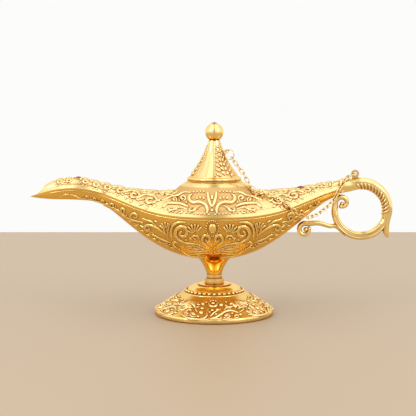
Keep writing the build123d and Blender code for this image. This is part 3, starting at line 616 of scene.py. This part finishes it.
# Each unit: its place along and beside the ridge, and its size, in mm.
vine_units = (
    (-27, 8.5, 3.3), (27, 8.5, 3.3), (-38.5, 5.4, 3.3), (-47, 3.8, 2.6), (39, 5.8, 3.3), (-38, 15.5, 4.2),
    (-48, 10.2, 3.5), (-57, 6.2, 2.7), (-65, 4.4, 2.1), (-72, 4.0, 1.9), (-78.4, 3.9, 1.7),
    (-88.4, 3.7, 1.6), (-94, 3.4, 1.5), (38, 17, 4.2), (47.5, 12, 3.6), (56.5, 7, 2.6), (64, 4.2, 1.9),
    (69.6, 3.0, 1.5),
)
vine_curl = spiral((0, 0), 1.0, 0.22, 200, -190)
vine_sweep = [(-1.6, -0.2), (-1.1, 0.5), (-0.9, 0.1), (-0.4, -1.1), (0.5, -1.5), (1.4, -1.2), (2.0, -0.5)]
# Each leaf: its place along and beside the unit's middle, in sizes, and its lean in degrees.
vine_leaves = (
    (1.25, 0.55, 40), (1.3, -0.25, 0), (0.5, 1.25, 75), (-0.6, 1.2, 120), (-0.3, -1.7, 160),
    (0.9, -2.0, 200),
)


def on_deck(x, y):
    """A place on the deck below a point seen from above, in mm."""
    place, normal, _, _ = deck_tree.ray_cast(Vector((x * mm, y * mm, above_deck)), -up)
    return (place, normal) if place else None


def deck_line(points):
    """A stroke on the deck through points seen from above with radii."""
    hits = [(on_deck(x, y), radius) for x, y, radius in points]
    return [(*hit, radius) for hit, radius in hits if hit]


deck_strokes = frieze_strokes + strokes_behind(frieze_strokes)
deck_bosses = frieze_bosses + bosses_behind(frieze_bosses)
for x, y, size in vine_units:
    way = -1 if x < 0 else 1
    curl_thick = 0.3 + 0.11 * size
    sweep_thick = 0.3 + 0.1 * size
    leaf_sizes = (0.3 + 0.42 * size, 0.25 + 0.16 * size, 0.3 + 0.12 * size)
    for side in (1, -1):
        for points, thick in ((vine_curl, curl_thick), (vine_sweep, sweep_thick)):
            placed = [(x + way * size * u, side * (y + size * v)) for u, v in points]
            deck_strokes.append(deck_line(swell(placed, thick)))
        for u, v, lean in vine_leaves:
            hit = on_deck(x + way * size * u, side * (y + size * v))
            if hit and abs(y + size * v) > least_off_ridge:
                along = Vector((way * cos(radians(lean)), side * sin(radians(lean)), 0))
                deck_bosses.append((*hit, along, leaf_sizes))
scroll_piece("deck_scrolls", deck_strokes, "base", relief_gold_highlighted, deck_weight)
boss_piece("deck_bosses", deck_bosses, "base", relief_gold_highlighted)

# Borders: a fine raised line inside the deck's plain band, and one on the bowl just below the seam.
# Both are cast with their shells and follow the edge of the deck, which is searched for at each step.
border_start = -99.0
border_step = 2.0
border_steps = 88
halvings = 16
spout_reach = 68.0
tail_reach = 78.0
end_band = 2.4
middle_band = 5.0
band_fall = 1.5
narrowest = 3.0
least_inner = 1.0
edge_margin = 0.05
deck_thick = 0.34
seam_thick = 0.3
below_seam = 0.0016
beside_bowl = 0.02
border_lines = []
seam_lines = []


def deck_edge(x, side):
    """Half the deck's width at x, in mm, found by halving the span in which it ends."""
    near, far = 0.5, 40.0
    for _ in range(halvings):
        middle = (near + far) / 2
        near, far = (middle, far) if on_deck(x, side * middle) else (near, middle)
    return near


for side in (1, -1):
    inner_line = []
    seam_line = []
    for i in range(border_steps):
        x = border_start + border_step * i
        edge = deck_edge(x, side)
        if edge < narrowest:
            continue
        reach = spout_reach if x < 0 else tail_reach
        band = end_band + (middle_band - end_band) * max(0.0, 1 - (x / reach) ** 2) ** band_fall
        hit = on_deck(x, side * (edge - band))
        if hit and edge - band > least_inner:
            inner_line.append((*hit, deck_thick))
        rim = on_deck(x, side * (edge - edge_margin))[0]
        out = Vector((0, side, 0))
        place, normal, _, _ = bowl_tree.ray_cast(rim + out * beside_bowl - up * below_seam, -out)
        if place:
            seam_line.append((place, normal, seam_thick))
    border_lines.append(inner_line)
    seam_lines.append(seam_line)
scroll_piece("deck_border", border_lines, "base", relief_gold_highlighted)
scroll_piece("bowl_border", seam_lines, "base", bowl_relief_highlighted)

# Handle: a ring with a scroll, cast in one and held by a spigot between the two shells.
# The inner half of its arm has slanting leaf flutes; fine lines run beside them and along the lower half.
finish_node("handle", gold_material("handle_gold", (1.0, 0.79, 0.34), painted_recess_shade, 0.13))
handle_tree = carrier("handle")
ring_centre = Vector((0.0896, 0, 0.0639))
ring_radius = 0.0161
outside_arm = 0.008
handle_weight = 1.4
flute_count = 13
flute_start = 96
flute_pitch = 8.4
flute_points = 7
flute_lead = 6
flute_slant = 2.1
flute_tilt = 78
flute_tilt_step = 15
flute_thick = 0.55
flute_strokes = []
side_line = {"start": 100, "step": 9, "points": 13, "tilt": 70, "thick": 0.3}
low_line = {"start": -35, "step": 12, "points": 12, "tilt": 62, "thick": 0.38}
lowest_line = {"start": -35, "step": 12, "points": 12, "tilt": 118, "thick": 0.38}


def on_arm(turn, tilt):
    """A place on the ring's arm: turn round the ring, tilt round the bar from its outer side, in degrees."""
    out = Vector((cos(radians(turn)), 0, sin(radians(turn))))
    aim = out * cos(radians(tilt)) + Vector((0, -1, 0)) * sin(radians(tilt))
    place, normal, _, _ = handle_tree.ray_cast(ring_centre + out * ring_radius + aim * outside_arm, -aim)
    return place, normal


for i in range(flute_count):
    turn = flute_start - flute_pitch * i
    for side in (1, -1):
        stroke = []
        for j in range(flute_points):
            hit = on_arm(turn - flute_slant * j + flute_lead, side * (flute_tilt + flute_tilt_step * j))
            if hit[0]:
                stroke.append((*hit, flute_thick * (0.4 + 0.6 * sin(pi * (j + 0.5) / flute_points))))
        flute_strokes.append(stroke)
for side in (1, -1):
    for line in (side_line, low_line, lowest_line):
        turns = [line["start"] - line["step"] * i for i in range(line["points"])]
        flute_strokes.append([(*on_arm(turn, side * line["tilt"]), line["thick"]) for turn in turns])
scroll_piece("handle_flutes", flute_strokes, "base", relief_gold_highlighted, handle_weight)

# Lid: a hollow-sided cone with a rolled rim, cast, its plug in the neck; the ball is screwed on from inside.
# Three bands of overlapping leaves go up the cone between plain flutes with thin ribs.
finish_node("lid", gold_material("lid_gold", (0.97, 0.73, 0.33), painted_recess_shade, 0.12))
finish_node("finial_ball", gold_material("ball_gold", (1.0, 0.76, 0.33), painted_recess_shade, 0.12))
lid_tree = carrier("lid")
lid_base = 0.0853
lid_top = 0.1056
outside_lid = 0.05
leaf_bands = 3
first_band = 31
leaf_tiers = 7
leaf_step = 12
leaf_lean = 0.6
lowest_leaf = 0.04
leaf_span = 0.88
leaf_narrowing = 0.6
rib_points = 10
rib_thinning = 0.4
# Each rib: degrees from the middle of a band, and its radius.
lid_ribs = ((-29, 0.42), (29, 0.42), (-78, 0.3), (-52, 0.3))
# Each leaf of a tier: steps from the middle of the band, and lift.
tier_leaves = ((-1.6, 0), (-0.55, 0.05), (0.55, 0.05), (1.6, 0))
lid_strokes = []
lid_bosses = []


def on_lid(turn, rise):
    """A place on the lid's cone: turn in degrees from the front, rise from 0 at the rim to 1 at the top."""
    angle = radians(turn - 90)
    height = lid_base + (lid_top - lid_base) * rise
    out = Vector((cos(angle), sin(angle), 0))
    place, normal, _, _ = lid_tree.ray_cast(out * outside_lid + up * height, -out)
    return place, normal


for band in range(leaf_bands):
    turn = first_band + 360 / leaf_bands * band
    for edge, thick in lid_ribs:
        rises = [i / (rib_points - 1) for i in range(rib_points)]
        rib = [(*on_lid(turn + edge, rise), thick * (1 - rib_thinning * rise)) for rise in rises]
        lid_strokes.append(rib)
    for tier in range(leaf_tiers):
        share = tier / leaf_tiers
        rise = lowest_leaf + leaf_span * share
        wide = 1.0 - leaf_narrowing * share
        leaf_sizes = (1.8 * wide + 0.2, 0.9 * wide + 0.1, 0.85 * wide + 0.1)
        for side, lift in tier_leaves:
            place, normal = on_lid(turn + side * leaf_step, rise + lift)
            round_way = up.cross(normal).normalized()
            along = (up + round_way * side * leaf_lean).normalized()
            lid_bosses.append((place, normal, along, leaf_sizes))
scroll_piece("lid_ribs", lid_strokes, "lid", relief_gold_highlighted)
boss_piece("lid_leaves", lid_bosses, "lid", relief_gold_highlighted)

# Chain, jump rings and eye pin: bent from thin gold-coloured wire, the links hooked into each other.
# The chain keeps the lid on the lamp, from the lug of the handle to the pin in the lid's side.
# Its darker, redder colour in the recesses is painted shade, as on the castings.
wire_gold = gold_material("wire_gold", (0.96, 0.76, 0.38), (0.5, 0.28, 0.06), 0.2, 0.0012)
for node in nodes:
    if node.startswith("chain_link") or node in ("handle_jump_ring", "lid_jump_ring", "lid_eye_pin"):
        finish_node(node, wire_gold)


# Stones: three small red cabochons of polished glass, on the spout, on the rear deck and on the finial.
# Each is set in a seat of the casting under it.
def plain_material(name, colour, rough, metallic=0.0, gloss=0.5):
    """A material of one even colour."""
    material = bpy.data.materials.new(name)
    material.use_nodes = True
    shader = material.node_tree.nodes["Principled BSDF"]
    shader.inputs["Base Color"].default_value = (*colour, 1)
    shader.inputs["Roughness"].default_value = rough
    shader.inputs["Metallic"].default_value = metallic
    shader.inputs["Specular IOR Level"].default_value = gloss
    return material


red_stone = plain_material("red_stone", (0.24, 0.004, 0.014), 0.12, gloss=0.25)
for node in ("spout_gem", "rear_gem", "finial_gem"):
    finish_node(node, red_stone)

# Screws and washer: turned and plated steel, out of sight under the foot and inside the lid.
# One screw pulls the foot and the lower shell together, the other holds the ball on the lid.
plated_steel = plain_material("plated_steel", (0.62, 0.61, 0.58), 0.3, metallic=1.0)
for node in ("foot_screw", "foot_washer", "finial_screw"):
    finish_node(node, plated_steel)

# Table: a plain pale top on which the lamp stands. It ends behind the lamp, before the white of the room.
# It is part of the stage and not of the lamp.
table_front = -2.0
table_back = 0.40
table_side = 2.0
table_shape = bmesh.new()
table_corners = (
    (-table_side, table_front, 0), (table_side, table_front, 0), (table_side, table_back, 0),
    (-table_side, table_back, 0),
)
table_shape.faces.new([table_shape.verts.new(corner) for corner in table_corners])
table_mesh = bpy.data.meshes.new("table_top")
table_shape.to_mesh(table_mesh)
table_shape.free()
table_mesh.materials.append(plain_material("table_top", (0.49, 0.375, 0.26), 0.5))
table = bpy.data.objects.new("table_top", table_mesh)
scene.collection.objects.link(table)

# Light: a white room that is dimmer and warmer straight behind the camera and in a strip overhead,
# so that the polished gold has something to mirror. A large soft lamp hangs above, a small one on each side.
world = bpy.data.worlds.new("white_room")
scene.world = world
world.use_nodes = True
room = world.node_tree
direction = room.nodes.new("ShaderNodeTexCoord")
split = room.nodes.new("ShaderNodeSeparateXYZ")
room.links.new(direction.outputs["Generated"], split.inputs["Vector"])
aside = math_node(room, "ABSOLUTE", split.outputs["X"])


def room_blend(value, low, high, first, second):
    """A colour of the room that changes from one to another as a part of the direction grows."""
    return colour_mix(room, between(room, value, low, high, "SMOOTHSTEP"), first, second)


low_behind = room_blend(aside, 0.04, 0.30, (0.46, 0.38, 0.24), (1.12, 1.09, 1.02))
high_behind = room_blend(aside, 0.05, 0.20, (0.60, 0.55, 0.43), (1.30, 1.28, 1.23))
behind = room_blend(split.outputs["Z"], 0.10, 0.50, low_behind, high_behind)
walls = room_blend(split.outputs["Y"], -0.25, 0.25, behind, (1.0, 0.99, 0.97))
ceiling = room_blend(aside, 0.03, 0.16, (0.58, 0.53, 0.42), (1.28, 1.26, 1.21))
whole_room = room_blend(split.outputs["Z"], 0.62, 0.92, walls, ceiling)
ray = room.nodes.new("ShaderNodeLightPath")
seen = colour_mix(room, ray.outputs["Is Camera Ray"], whole_room, (0.975, 0.975, 0.965))
room.links.new(seen, room.nodes["Background"].inputs["Color"])
lamp_aim = Vector((0, 0, 0.06))


def soft_lamp(name, place, size, power):
    """A square soft lamp that looks at the object's middle."""
    data = bpy.data.lights.new(name, "AREA")
    data.energy = power
    data.size = size
    lamp = bpy.data.objects.new(name, data)
    lamp.location = place
    lamp.rotation_euler = (lamp_aim - Vector(place)).to_track_quat("-Z", "Y").to_euler()
    scene.collection.objects.link(lamp)


soft_lamp("top_lamp", (0.0, -0.35, 1.3), 1.4, 1.5)
soft_lamp("left_lamp", (-0.9, -0.7, 0.7), 0.35, 2.0)
soft_lamp("right_lamp", (0.9, -0.7, 0.7), 0.35, 1.6)
